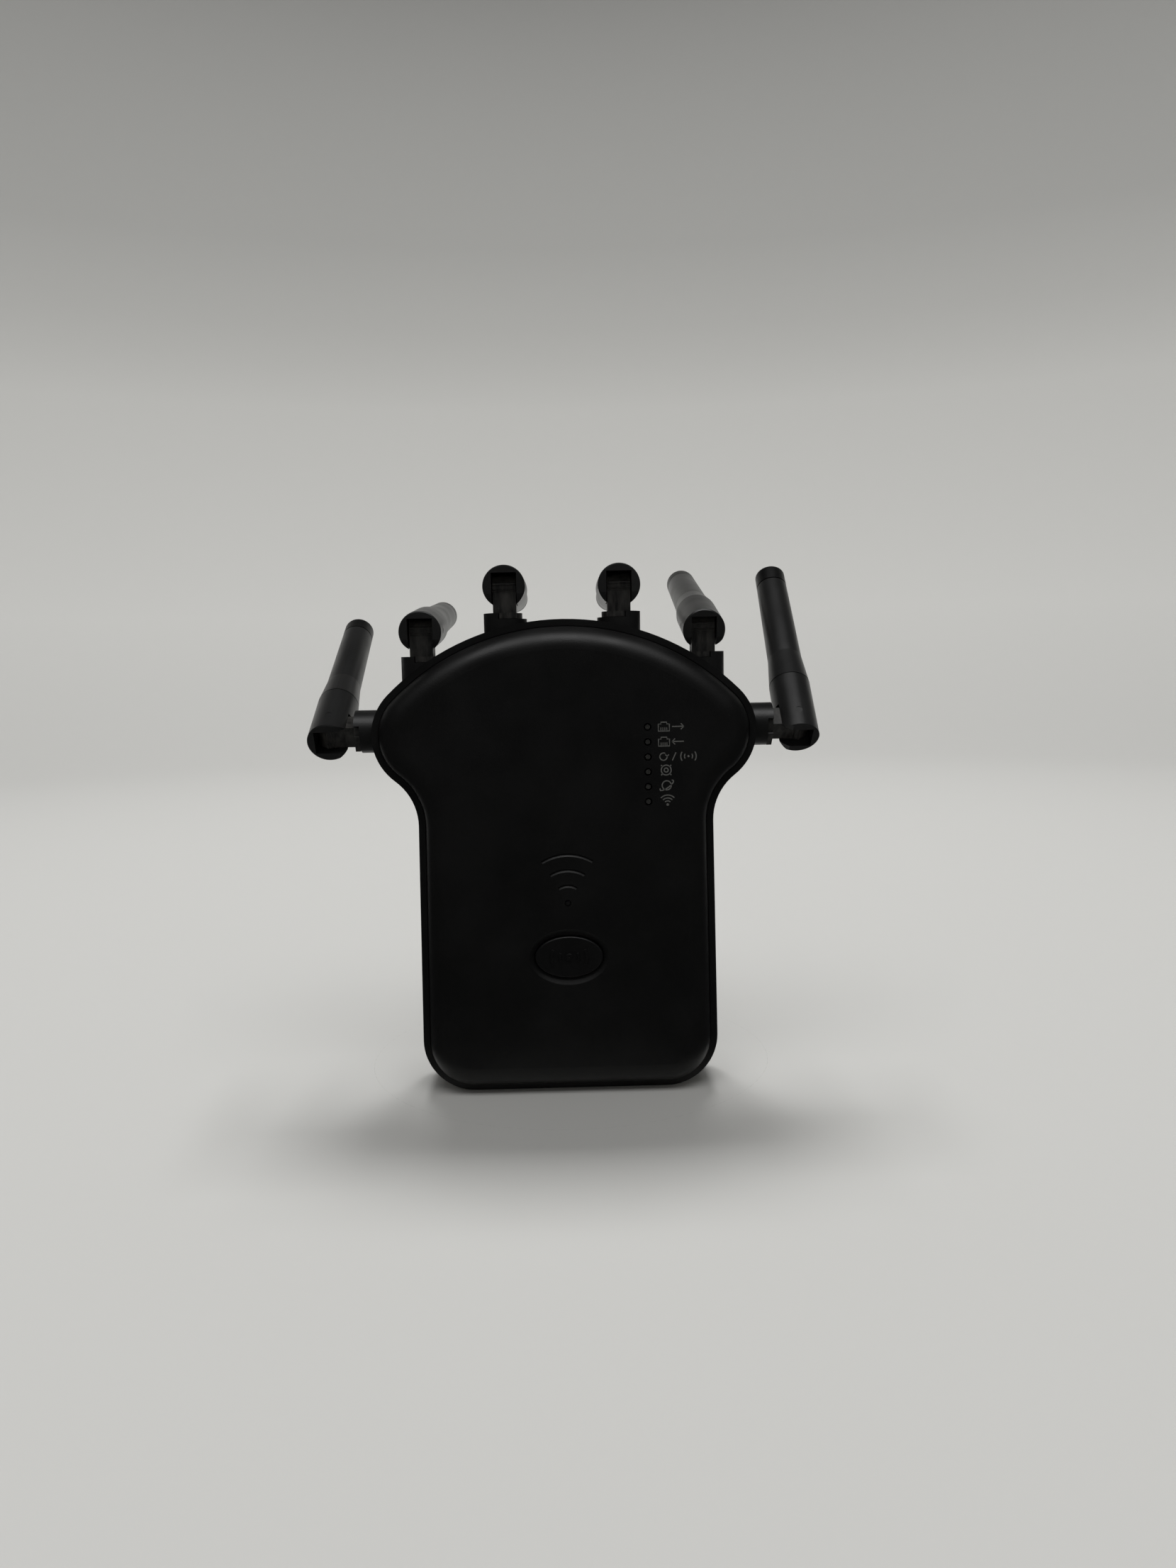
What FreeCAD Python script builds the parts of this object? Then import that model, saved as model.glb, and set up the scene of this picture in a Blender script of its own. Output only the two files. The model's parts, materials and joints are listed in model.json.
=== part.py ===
import FreeCAD, Part
import math
import os
import re
import Sketcher

# A plug-in wifi range extender with six hinged antennas. Millimetres, +Z up, +X to the right
# seen from the front, +Y into the wall. The origin is the middle of the plug's face.
# The housing is drawn in a frame of its own: the front of its main board is y = 0 and its
# bottom edge is z = 0, and every housing piece is then moved to the row frame.
# Each antenna is drawn straight up with its hinge pin on the X axis through the origin.

DIMENSIONS = {
    # outline of the housing
    "body_height": 132.1,
    "shoulder_width": 106.2,
    "waist_width": 81.8,
    "base_width": 83.2,
    "crown_radius": 68.75,
    "shoulder_radius": 15.8,
    "neck_radius": 15.7,
    "corner_radius": 14.6,
    # depths and walls of the covers
    "outlet_depth": 24.0,
    "plug_height": 52.0,
    "rear_depth": 15.0,
    "front_depth": 12.0,
    "seam_ahead": 5.6,
    "wall": 2.2,
    "rim": 1.8,
    "lap": 1.3,
    "cover_gap": 0.2,
    "front_round": 6.2,
    "rear_round": 4.0,
    # how far a cutting shape runs past what it cuts, and an added one into what it joins
    "past": 1.0,
    "root": 0.5,
    # lamps
    "lamp_x": 22.5,
    "lamp_top": 102.5,
    "lamp_pitch": 4.07,
    "lamp_count": 6,
    "lamp_hole": 1.05,
    "lamp_lens": 0.65,
    "lens_recess": 0.3,
    "guide_width": 4.0,
    "guide_depth": 2.0,
    "guide_ahead": 8.0,
    "led_width": 1.6,
    "led_height": 0.8,
    # button
    "button_height": 39.5,
    "button_half_width": 9.35,
    "button_half_height": 5.75,
    "button_gap": 0.3,
    "button_proud": 0.2,
    "button_round": 0.4,
    "dish_half_width": 11.0,
    "dish_half_height": 7.85,
    "dish_depth": 0.85,
    "button_lip": 1.0,
    "lip_length": 1.2,
    "button_travel": 0.6,
    "stem_radius": 2.5,
    "plunger_out": 1.5,
    "plunger_floor": 0.8,
    # engraved signal mark
    "mark_height": 54.6,
    "mark_dot": 0.9,
    "dot_ring": 0.35,
    "mark_stroke": 0.85,
    "mark_inner": 4.7,
    "mark_middle": 9.0,
    "mark_outer": 13.3,
    "mark_angle": 63.0,
    "mark_depth": 0.5,
    # screws
    "screw_x": 32.0,
    "screw_low": 13.0,
    "screw_high": 86.0,
    "post_radius": 3.0,
    "post_end": 2.0,
    "screw_radius": 1.25,
    "screw_hole": 1.5,
    "head_radius": 2.6,
    "head_length": 1.8,
    "head_sink": 2.6,
    "head_gap": 0.3,
    "post_solid": 2.0,
    "recess_width": 3.0,
    "recess_slot": 0.6,
    "recess_depth": 0.8,
    # plug
    "block_width": 38.0,
    "block_height": 28.0,
    "block_round": 6.0,
    "block_edge": 0.8,
    "neck_width": 30.0,
    "neck_height": 20.0,
    "blade_spacing": 12.7,
    "blade_thickness": 1.5,
    "blade_width": 6.35,
    "blade_length": 17.0,
    "blade_hole": 1.6,
    "blade_hole_back": 5.0,
    "blade_round": 1.5,
    # boards and what is on them
    "board_thickness": 1.6,
    "board_width": 52.0,
    "board_low": 5.0,
    "board_high": 108.0,
    "power_width": 44.0,
    "power_low": 24.0,
    "power_high": 80.0,
    "link_width": 10.0,
    "link_height": 2.5,
    "link_low": 72.0,
    "core_width": 18.0,
    "core_depth": 8.0,
    "core_height": 4.0,
    "core_left": -20.0,
    "core_low": 51.0,
    "core_pitch": 12.0,
    "coil_radius": 3.9,
    "can_radius": 3.9,
    "can_height": 13.0,
    "can_low": 30.0,
    "can_x": 6.0,
    "can_pitch": 10.0,
    "switch_size": 6.0,
    "switch_depth": 3.5,
    "plunger_radius": 1.6,
    "shield_width": 30.0,
    "shield_height": 20.0,
    "shield_depth": 3.0,
    "shield_low": 83.0,
    # network jacks
    "jack_x": 12.0,
    "jack_width": 16.0,
    "jack_depth": 10.9,
    "jack_height": 18.0,
    "jack_low": 0.4,
    "jack_gap": 0.05,
    "jack_wall": 1.0,
    "mouth_width": 11.9,
    "mouth_depth": 7.4,
    "mouth_height": 13.5,
    "latch_width": 6.2,
    "latch_depth": 1.5,
    "latch_height": 9.5,
    "contact_count": 8,
    "contact_pitch": 1.02,
    "contact_width": 0.4,
    "contact_depth": 0.5,
    "contact_length": 8.0,
    # vents and label
    "vent_low": 86.0,
    "vent_pitch": 4.0,
    "vent_count": 6,
    "vent_width": 30.0,
    "vent_slot": 1.8,
    "label_width": 40.0,
    "label_height": 14.0,
    "label_low": 16.0,
    "label_thickness": 0.15,
    # where the antennas stand, and how they are turned and folded at rest
    "swivel_y": 2.0,
    "inner_x": 15.8,
    "inner_pivot": 141.3,
    "outer_x": 39.1,
    "outer_pivot": 129.8,
    "side_x": 65.5,
    "side_pivot": 102.0,
    "swing_1": 29.0,
    "swing_2": 0.0,
    "swing_3": 0.0,
    "swing_4": 0.0,
    "swing_5": 0.0,
    "swing_6": 46.0,
    "fold_1": 90.0,
    "fold_2": 84.0,
    "fold_3": 90.0,
    "fold_4": 90.0,
    "fold_5": 75.5,
    "fold_6": 90.0,
    # one antenna
    "sleeve_radius": 5.85,
    "sleeve_end": 5.6,
    "grip_length": 20.0,
    "flare_length": 10.0,
    "slim_radius": 4.95,
    "tip_radius": 4.56,
    "sleeve_top": 55.4,
    "cap_length": 6.0,
    "cap_round": 1.2,
    "spigot_length": 3.0,
    "ring_width": 0.4,
    "cap_ring_depth": 0.35,
    "grip_ring_depth": 0.2,
    "sleeve_bevel": 0.3,
    "bore_radius": 3.0,
    "bore_floor": 2.8,
    "element_foot": 1.5,
    "wire_radius": 0.7,
    "wire_end": 50.0,
    "tube_radius": 2.2,
    "tube_start": 13.0,
    "tube_end": 33.0,
    "slot_half_width": 3.45,
    "slot_back": 3.75,
    "slot_floor": 4.2,
    "knuckle_radius": 5.95,
    "pin_radius": 1.05,
    "pin_half_length": 5.75,
    "pin_clearance": 0.05,
    "tongue_half_width": 3.2,
    "tongue_half_depth": 3.0,
    "tongue_head": 3.4,
    "ridge_radius": 0.3,
    "ridge_angle": 11.0,
    "notch_radius": 0.2,
    "notch_angle": -16.0,
    "flange_radius": 4.75,
    "flange_top": 7.2,
    "flange_low": 8.7,
    "shaft_radius": 3.5,
    "shaft_clearance": 0.07,
    "snap_lip": 0.5,
    "snap_length": 2.0,
    "snap_edge": 0.8,
    "lead_radius": 0.6,
    "lead_bore": 1.2,
    "lead_gap": 0.8,
    "lead_pad": 3.0,
    "lead_pad_depth": 1.2,
    # socket
    "socket_radius": 6.0,
    "socket_top": 8.8,
    "socket_length": 12.0,
    "socket_gap": 0.1,
    "hole_run": 30.0,
    "stop_radius": 4.95,
    "stop_angle": 146.0,
    "lug_short": 1.45,
    "lug_long": 3.4,
    "lug_reach": 5.0,
}

# Width, depth and height of each chip on the main board, and its left and low edges.
CHIPS = (
    (14.0, 1.2, 14.0, -12.0, 66.0),
    (8.0, 1.0, 10.0, 6.0, 68.0),
    (5.0, 1.0, 4.0, -20.0, 60.0),
)

# Directions that a cylinder, which FreeCAD draws along +Z, can be turned to.
UP = FreeCAD.Rotation()
BACK = FreeCAD.Rotation(FreeCAD.Vector(1, 0, 0), -90)
RIGHT = FreeCAD.Rotation(FreeCAD.Vector(0, 1, 0), 90)
LEFT = FreeCAD.Rotation(FreeCAD.Vector(0, 1, 0), -90)

# name, direction its socket faces, signs of x, pivot height alias, side that the stop wall is on
ANTENNAS = (
    ("antenna_1", LEFT, "-side_x", "side_pivot", 1),
    ("antenna_2", UP, "-outer_x", "outer_pivot", -1),
    ("antenna_3", UP, "-inner_x", "inner_pivot", -1),
    ("antenna_4", UP, "inner_x", "inner_pivot", 1),
    ("antenna_5", UP, "outer_x", "outer_pivot", 1),
    ("antenna_6", RIGHT, "side_x", "side_pivot", -1),
)

doc = FreeCAD.newDocument("RangeExtender")
sheet = doc.addObject("Spreadsheet::Sheet", "Sizes")
nodes = []


# ---------------------------------------------------------------- helpers

def fill_sheet():
    """Writes every driving dimension into a row of its own, with its alias."""
    for row, (alias, value) in enumerate(DIMENSIONS.items(), start=1):
        sheet.set(f"A{row}", alias)
        sheet.set(f"B{row}", str(value))
        sheet.setAlias(f"B{row}", alias)
    doc.recompute()


def size(alias):
    """The value of one cell of the sheet."""
    return float(getattr(sheet, alias))


def bound(expression):
    """Puts the sheet's name before each alias of an expression."""
    def with_sheet(word):
        return "Sizes." + word.group() if word.group() in DIMENSIONS else word.group()
    return re.sub(r"[a-z][a-z0-9_]*", with_sheet, str(expression))


def bind(item, expressions):
    """Binds properties of an object to expressions on the sheet."""
    for path, expression in expressions.items():
        item.setExpression(path, bound(expression))


def place(item, low, turn=UP):
    """Turns an object and binds where its own origin goes."""
    item.Placement = FreeCAD.Placement(FreeCAD.Vector(), turn)
    for axis, expression in zip("xyz", low):
        if str(expression) != "0":
            item.setExpression("Placement.Base." + axis, bound(expression))


def keep(item, name):
    """Makes an object one of the sub-parts that are written out."""
    item.Label = name
    nodes.append(item)
    return item


def in_housing(item, name):
    """Keeps a piece that is drawn in the housing's frame, moved to the row frame."""
    if item.isDerivedFrom("Part::Primitive"):
        item = group([item])
    place(item, (0, "-outlet_depth", "-plug_height"))
    return keep(item, name)


def new_body(name):
    """An empty PartDesign body."""
    return doc.addObject("PartDesign::Body", name)


def origin_part(body, role):
    """One of a body's own origin planes or axes."""
    return next(part for part in body.Origin.OriginFeatures if part.Role == role)


def new_sketch(body, role, name, offset=None, at=None):
    """A sketch on one of a body's origin planes, lifted off it by an expression."""
    sketch = body.newObject("Sketcher::SketchObject", name)
    sketch.AttachmentSupport = (origin_part(body, role), [""])
    sketch.MapMode = "FlatFace"
    if offset is not None:
        sketch.setExpression("AttachmentOffset.Base.z", bound(offset))
    if at is not None:
        sketch.setExpression("AttachmentOffset.Base.y", bound(at))
    return sketch


def extrude(body, kind, sketch, length, reverse=False):
    """A Pad or Pocket of a bound length."""
    feature = body.newObject("PartDesign::" + kind, kind)
    feature.Profile = sketch
    feature.Reversed = reverse
    bind(feature, {"Length": length})
    doc.recompute()
    return feature


def turned(body, kind, sketch, axis, angle=None):
    """A Revolution or Groove about an axis, all round or half of an angle to each side."""
    feature = body.newObject("PartDesign::" + kind, kind)
    feature.Profile = sketch
    feature.ReferenceAxis = axis
    feature.Angle = 360
    if angle is not None:
        feature.Midplane = True
        bind(feature, {"Angle": angle})
    doc.recompute()
    return feature


def round_edges(body, radius, chosen):
    """Fillets the edges of the body's tip that a test chooses."""
    tip = body.Tip
    edges = [f"Edge{n}" for n, edge in enumerate(tip.Shape.Edges, start=1) if chosen(edge)]
    fillet = body.newObject("PartDesign::Fillet", "Fillet")
    fillet.Base = (tip, edges)
    bind(fillet, {"Radius": radius})
    doc.recompute()
    return fillet


def at_depth(y):
    """A test for edges that lie in one plane across the depth."""
    return lambda edge: all(abs(v.Y - y) < 1e-4 for v in edge.Vertexes)


def along_depth(edge):
    """A test for straight edges that run through the depth."""
    ends = [v.Point for v in edge.Vertexes]
    return len(ends) == 2 and abs(ends[0].y - ends[1].y) > 1 and (ends[0] - ends[1]).x == 0


def round_bar(body, kind, radius, length, low, turn=UP):
    """Adds a cylinder to a body, or removes one."""
    feature = body.newObject("PartDesign::" + kind + "Cylinder", "Cylinder")
    place(feature, low, turn)
    bind(feature, {"Radius": radius, "Height": length})
    return feature


def block(body, kind, sizes, low):
    """Adds a box to a body, or removes one."""
    feature = body.newObject("PartDesign::" + kind + "Box", "Box")
    place(feature, low)
    bind(feature, dict(zip(("Length", "Width", "Height"), sizes)))
    return feature


def repeat_down(body, feature, pitch, count, reverse):
    """Repeats a feature along the body's Z axis."""
    pattern = body.newObject("PartDesign::LinearPattern", "LinearPattern")
    pattern.Originals = [feature]
    pattern.Direction = (origin_part(body, "Z_Axis"), [""])
    pattern.Reversed = reverse
    bind(pattern, {"Length": f"{pitch} * ({count} - 1)", "Occurrences": count})
    body.Tip = pattern
    doc.recompute()
    return pattern


def box(sizes, low):
    """A free box with bound sizes and a bound low corner."""
    solid = doc.addObject("Part::Box", "Block")
    place(solid, low)
    bind(solid, dict(zip(("Length", "Width", "Height"), sizes)))
    return solid


def rod(radius, length, low, turn=UP):
    """A free cylinder with bound sizes and a bound start."""
    solid = doc.addObject("Part::Cylinder", "Rod")
    place(solid, low, turn)
    bind(solid, {"Radius": radius, "Height": length})
    return solid


def fused(parts):
    """One solid made of several."""
    joined = doc.addObject("Part::MultiFuse", "Fused")
    joined.Shapes = parts
    return joined


def cut(base, tool):
    """One object less another."""
    result = doc.addObject("Part::Cut", "Less")
    result.Base = base
    result.Tool = tool
    return result


def group(parts):
    """Several separate solids in one object."""
    together = doc.addObject("Part::Compound", "Group")
    together.Links = parts
    return together


def ring_points(count):
    """Starting places for a polygon's corners, before its constraints move them."""
    turn = 2 * math.pi / count
    return [FreeCAD.Vector(math.cos(turn * n), math.sin(turn * n), 0) for n in range(count)]


def polygon(sketch, corners):
    """A closed polygon whose corners are bound to pairs of expressions."""
    start = ring_points(len(corners))
    first = sketch.GeometryCount
    lines = [Part.LineSegment(a, b) for a, b in zip(start, start[1:] + start[:1])]
    sketch.addGeometry(lines, False)
    for n in range(len(corners)):
        after = first + (n + 1) % len(corners)
        sketch.addConstraint(Sketcher.Constraint("Coincident", first + n, 2, after, 1))
    for n, corner in enumerate(corners):
        for kind, expression in zip(("DistanceX", "DistanceY"), corner):
            rule = sketch.addConstraint(Sketcher.Constraint(kind, -1, 1, first + n, 1, 1.0))
            sketch.setExpression(f"Constraints[{rule}]", bound(expression))


def ellipse(sketch, half_width, half_height, middle):
    """An ellipse on the sketch's vertical axis, with bound half axes and height."""
    centre = FreeCAD.Vector(0, size(middle), 0)
    sketch.addGeometry(Part.Ellipse(centre, 12, 6), False)
    sketch.exposeInternalGeometry(0)
    sketch.addConstraint(Sketcher.Constraint("Horizontal", 1))
    sketch.addConstraint(Sketcher.Constraint("PointOnObject", 0, 3, -2))
    rules = (
        (Sketcher.Constraint("DistanceY", -1, 1, 0, 3, centre.y), middle),
        (Sketcher.Constraint("Distance", 1, 24.0), f"2 * ({half_width})"),
        (Sketcher.Constraint("Distance", 2, 12.0), f"2 * ({half_height})"),
    )
    for rule, expression in rules:
        number = sketch.addConstraint(rule)
        sketch.setExpression(f"Constraints[{number}]", bound(expression))


# ---------------------------------------------------------------- housing outline

def outline_arcs(inset):
    """Centre, radius, start and end angle of the seven arcs of the outline, anticlockwise.

    The shoulders touch the crown from inside and the necks from outside, and a straight
    side runs from each neck to its bottom corner.
    """
    crown = FreeCAD.Vector(0, size("body_height") - size("crown_radius"), 0)
    shoulder_x = size("shoulder_width") / 2 - size("shoulder_radius")
    reach = size("crown_radius") - size("shoulder_radius")
    shoulder = FreeCAD.Vector(shoulder_x, crown.y + math.sqrt(reach**2 - shoulder_x**2), 0)
    neck_x = size("waist_width") / 2 + size("neck_radius")
    reach = size("shoulder_radius") + size("neck_radius")
    neck = FreeCAD.Vector(neck_x, shoulder.y - math.sqrt(reach**2 - (neck_x - shoulder.x)**2), 0)
    corner = FreeCAD.Vector(size("base_width") / 2 - size("corner_radius"), size("corner_radius"), 0)
    rise = neck - corner
    touch = (size("neck_radius") + size("corner_radius")) / rise.Length
    side = math.atan2(rise.y, rise.x) - math.acos(touch)
    to_shoulder = math.atan2(shoulder.y - neck.y, shoulder.x - neck.x)
    to_crown = math.atan2(shoulder.y - crown.y, shoulder.x)
    half = math.pi
    small = size("corner_radius") - inset
    hollow = size("neck_radius") + inset
    wide = size("shoulder_radius") - inset

    def mirrored(point):
        return FreeCAD.Vector(-point.x, point.y, 0)

    return (
        (corner, small, -half / 2, side),
        (neck, hollow, to_shoulder, half + side),
        (shoulder, wide, to_shoulder - half, to_crown),
        (crown, size("crown_radius") - inset, to_crown, half - to_crown),
        (mirrored(shoulder), wide, half - to_crown, 2 * half - to_shoulder),
        (mirrored(neck), hollow, -side, half - to_shoulder),
        (mirrored(corner), small, half - side, 3 * half / 2),
    )


def outline(sketch, insets):
    """Draws the shield outline, moved inwards by the sum of some aliases, and binds it."""
    inset = sum(size(alias) for alias in insets)
    less = "".join(" - " + alias for alias in insets)
    more = "".join(" + " + alias for alias in insets)
    arcs = []
    for centre, radius, start, end in outline_arcs(inset):
        circle = Part.Circle(centre, FreeCAD.Vector(0, 0, 1), radius)
        arcs.append(Part.ArcOfCircle(circle, start, end))
    corner, neck, shoulder, crown, left_shoulder, left_neck, left_corner = arcs
    chain = [
        Part.LineSegment(left_corner.EndPoint, corner.StartPoint),
        corner,
        Part.LineSegment(corner.EndPoint, neck.EndPoint),
        neck,
        shoulder,
        crown,
        left_shoulder,
        left_neck,
        Part.LineSegment(left_neck.StartPoint, left_corner.StartPoint),
        left_corner,
    ]
    sketch.addGeometry(chain, False)
    joints = ((0, 2, 1, 1), (1, 2, 2, 1), (2, 2, 3, 2), (3, 1, 4, 1), (4, 2, 5, 1),
              (5, 2, 6, 1), (6, 2, 7, 2), (7, 1, 8, 1), (8, 2, 9, 1), (9, 2, 0, 1))
    for joint in joints:
        sketch.addConstraint(Sketcher.Constraint("Tangent", *joint))
    rules = [(Sketcher.Constraint("Radius", 5, crown.Radius), "crown_radius" + less)]
    pairs = (
        (1, 9, corner, "corner_radius", less, "base_width / 2 - corner_radius"),
        (3, 7, neck, "neck_radius", more, "waist_width / 2 + neck_radius"),
        (4, 6, shoulder, "shoulder_radius", less, "shoulder_width / 2 - shoulder_radius"),
    )
    for right, left, arc, radius, change, across in pairs:
        x = arc.Center.x
        rules.append((Sketcher.Constraint("Radius", right, arc.Radius), radius + change))
        rules.append((Sketcher.Constraint("Radius", left, arc.Radius), radius + change))
        rules.append((Sketcher.Constraint("DistanceX", -1, 1, right, 3, x), across))
        rules.append((Sketcher.Constraint("DistanceX", left, 3, -1, 1, x), across))
    for end in (1, 9):
        height = Sketcher.Constraint("DistanceY", -1, 1, end, 3, corner.Center.y)
        rules.append((height, "corner_radius"))
    middle = crown.Center.y
    rules.append((Sketcher.Constraint("DistanceY", -1, 1, 5, 3, middle), "body_height - crown_radius"))
    sketch.addConstraint(Sketcher.Constraint("PointOnObject", 5, 3, -2))
    for rule, expression in rules:
        number = sketch.addConstraint(rule)
        sketch.setExpression(f"Constraints[{number}]", bound(expression))


def shell(name, insets, depth, lift, forward, rounding):
    """A hollow tray of the outline's shape, open at a height ahead of the board, rounded at
    its closed face."""
    body = new_body(name)
    outer = new_sketch(body, "XZ_Plane", "Outer", lift)
    outline(outer, insets)
    extrude(body, "Pad", outer, depth, reverse=not forward)
    face = -size("front_depth") if forward else size("rear_depth")
    round_edges(body, rounding, at_depth(face))
    inner = new_sketch(body, "XZ_Plane", "Inner", lift)
    outline(inner, insets + ["wall"])
    extrude(body, "Pocket", inner, depth + " - wall", reverse=forward)
    floor = face + size("wall") if forward else face - size("wall")
    round_edges(body, rounding + " - wall", at_depth(floor))
    return body


def screw_places():
    """The four screws' x and z, as expressions."""
    return [(x, z) for x in ("-screw_x", "screw_x") for z in ("screw_low", "screw_high")]


# ---------------------------------------------------------------- covers and plug

def make_front_cover():
    """The pillowed front shell with its lamp holes, button opening and signal mark."""
    depth = "front_depth - seam_ahead + lap"
    body = shell("front_cover", ["rim", "cover_gap"], depth, "seam_ahead - lap", True, "front_round")
    add_front_posts(body)
    low = ("lamp_x", "-past - front_depth", "lamp_top")
    hole = round_bar(body, "Subtractive", "lamp_hole", "wall + 2 * past", low, BACK)
    repeat_down(body, hole, "lamp_pitch", "lamp_count", True)
    engrave_signal_mark(body)
    open_button_hole(body)
    in_housing(body, "front_cover")


def add_front_posts(body):
    """The four posts that the housing's screws bite into."""
    for x, z in screw_places():
        reach = "front_depth - wall + root + post_end"
        round_bar(body, "Additive", "post_radius", reach, (x, "wall - root - front_depth", z), BACK)
        pilot = "front_depth - wall - post_solid + post_end"
        low = (x, "wall + post_solid - front_depth", z)
        round_bar(body, "Subtractive", "screw_radius", pilot, low, BACK)


def engrave_signal_mark(body):
    """Three arcs with sloping inner walls over a ringed dot, cut into the front."""
    mark = new_sketch(body, "YZ_Plane", "Mark", at="mark_height")
    floor = "mark_depth - front_depth"
    air = "-past - front_depth"
    lean = "mark_stroke * (mark_depth + past) / mark_depth"
    for radius in ("mark_inner", "mark_middle", "mark_outer"):
        outside = f"{radius} + mark_stroke / 2"
        polygon(mark, ((air, f"{outside} - {lean}"), (floor, outside), (air, outside)))
    turned(body, "Groove", mark, (mark, ["H_Axis"]), "mark_angle")
    ring = new_sketch(body, "YZ_Plane", "Ring", at="mark_height")
    centre = "mark_dot - dot_ring"
    polygon(ring, ((air, centre), (floor, centre), (floor, "mark_dot"), (air, "mark_dot")))
    turned(body, "Groove", ring, (ring, ["H_Axis"]))


def open_button_hole(body):
    """The oval opening for the button, at the bottom of a bevelled dish."""
    opening = new_sketch(body, "XZ_Plane", "ButtonHole")
    ellipse(opening, "button_half_width + button_gap", "button_half_height + button_gap", "button_height")
    extrude(body, "Pocket", opening, "front_depth + past", reverse=True)
    lifts = ("front_depth", "front_depth - dish_depth")
    dish = [new_sketch(body, "XZ_Plane", "Dish", lift) for lift in lifts]
    ellipse(dish[0], "dish_half_width", "dish_half_height", "button_height")
    ellipse(dish[1], "button_half_width + button_gap", "button_half_height + button_gap", "button_height")
    bevel = body.newObject("PartDesign::SubtractiveLoft", "Bevel")
    bevel.Profile = dish[0]
    bevel.Sections = [dish[1]]
    bevel.Ruled = True
    doc.recompute()


def make_rear_cover():
    """The rear shell: rebate for the front cover, antenna holes, jack openings and vents."""
    body = shell("rear_cover", [], "rear_depth + seam_ahead", "seam_ahead", False, "rear_round")
    rebate = new_sketch(body, "XZ_Plane", "Rebate", "seam_ahead")
    outline(rebate, ["rim"])
    extrude(body, "Pocket", rebate, "lap")
    add_rear_bosses(body)
    open_antenna_holes(body)
    for sign in ("-1", "1"):
        sizes = ("jack_width + 2 * cover_gap", "jack_depth + cover_gap", "wall + 2 * past")
        low = (f"{sign} * jack_x - jack_width / 2 - cover_gap", "board_thickness", "-past")
        block(body, "Subtractive", sizes, low)
    neck = ("neck_width + 2 * cover_gap", "wall + 2 * past", "neck_height + 2 * cover_gap")
    low = ("-neck_width / 2 - cover_gap", "rear_depth - wall - past",
           "plug_height - neck_height / 2 - cover_gap")
    block(body, "Subtractive", neck, low)
    slot = block(body, "Subtractive", ("vent_width", "wall + 2 * past", "vent_slot"),
                 ("-vent_width / 2", "rear_depth - wall - past", "vent_low"))
    repeat_down(body, slot, "vent_pitch", "vent_count", False)
    in_housing(body, "rear_cover")


def add_rear_bosses(body):
    """The four bosses that meet the front posts, each bored and sunk for a screw."""
    for x, z in screw_places():
        boss = "rear_depth - wall + root - post_end"
        round_bar(body, "Additive", "post_radius + cover_gap", boss, (x, "post_end", z), BACK)
        round_bar(body, "Subtractive", "screw_hole", "rear_depth", (x, 0, z), BACK)
        low = (x, "rear_depth - head_sink", z)
        round_bar(body, "Subtractive", "head_radius + head_gap", "head_sink + past", low, BACK)


def open_antenna_holes(body):
    """A round hole through the side of the cover for each antenna's socket."""
    reach = "(socket_top + socket_length + 2 * past)"
    for _, turn, x, z, _ in ANTENNAS:
        low = (x, "swivel_y", f"{z} - {reach}")
        if turn != UP:
            sign = "-1" if turn == LEFT else "1"
            low = (f"{sign} * (side_x - {reach})", "swivel_y", z)
        round_bar(body, "Subtractive", "socket_radius + socket_gap", "hole_run", low, turn)


def make_plug_block():
    """The raised block that carries the blades, with a neck through the rear wall."""
    body = new_body("plug_block")
    block(body, "Additive", ("block_width", "outlet_depth - rear_depth", "block_height"),
          ("-block_width / 2", "rear_depth", "plug_height - block_height / 2"))
    doc.recompute()
    round_edges(body, "block_round", along_depth)
    round_edges(body, "block_edge", at_depth(size("outlet_depth")))
    block(body, "Additive", ("neck_width", "wall", "neck_height"),
          ("-neck_width / 2", "rear_depth - wall", "plug_height - neck_height / 2"))
    for sign in ("-1", "1"):
        block(body, "Subtractive", ("blade_thickness", "outlet_depth", "blade_width"),
              (f"{sign} * blade_spacing / 2 - blade_thickness / 2", "rear_depth - wall - past",
               "plug_height - blade_width / 2"))
    doc.recompute()
    in_housing(body, "plug_block")


def at_blade_corner(edge):
    """Whether an edge crosses a blade's tip through its thickness."""
    end = size("outlet_depth") + size("blade_length")
    return at_depth(end)(edge) and abs(edge.Length - size("blade_thickness")) < 1e-4


def make_plug_blades():
    """Two flat blades with a round hole near the tip and rounded tip corners."""
    blades = []
    for sign in ("-1", "1"):
        body = new_body("blade")
        tip = "outlet_depth + blade_length"
        low = (f"{sign} * blade_spacing / 2 - blade_thickness / 2", "rear_depth - wall + cover_gap",
               "plug_height - blade_width / 2")
        length = f"{tip} - rear_depth + wall - cover_gap"
        block(body, "Additive", ("blade_thickness", length, "blade_width"), low)
        doc.recompute()
        round_edges(body, "blade_round", at_blade_corner)
        hole = (f"{sign} * blade_spacing / 2 - 2 * past", f"{tip} - blade_hole_back", "plug_height")
        round_bar(body, "Subtractive", "blade_hole", "4 * past", hole, RIGHT)
        doc.recompute()
        blades.append(body)
    in_housing(group(blades), "plug_blades")


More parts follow.
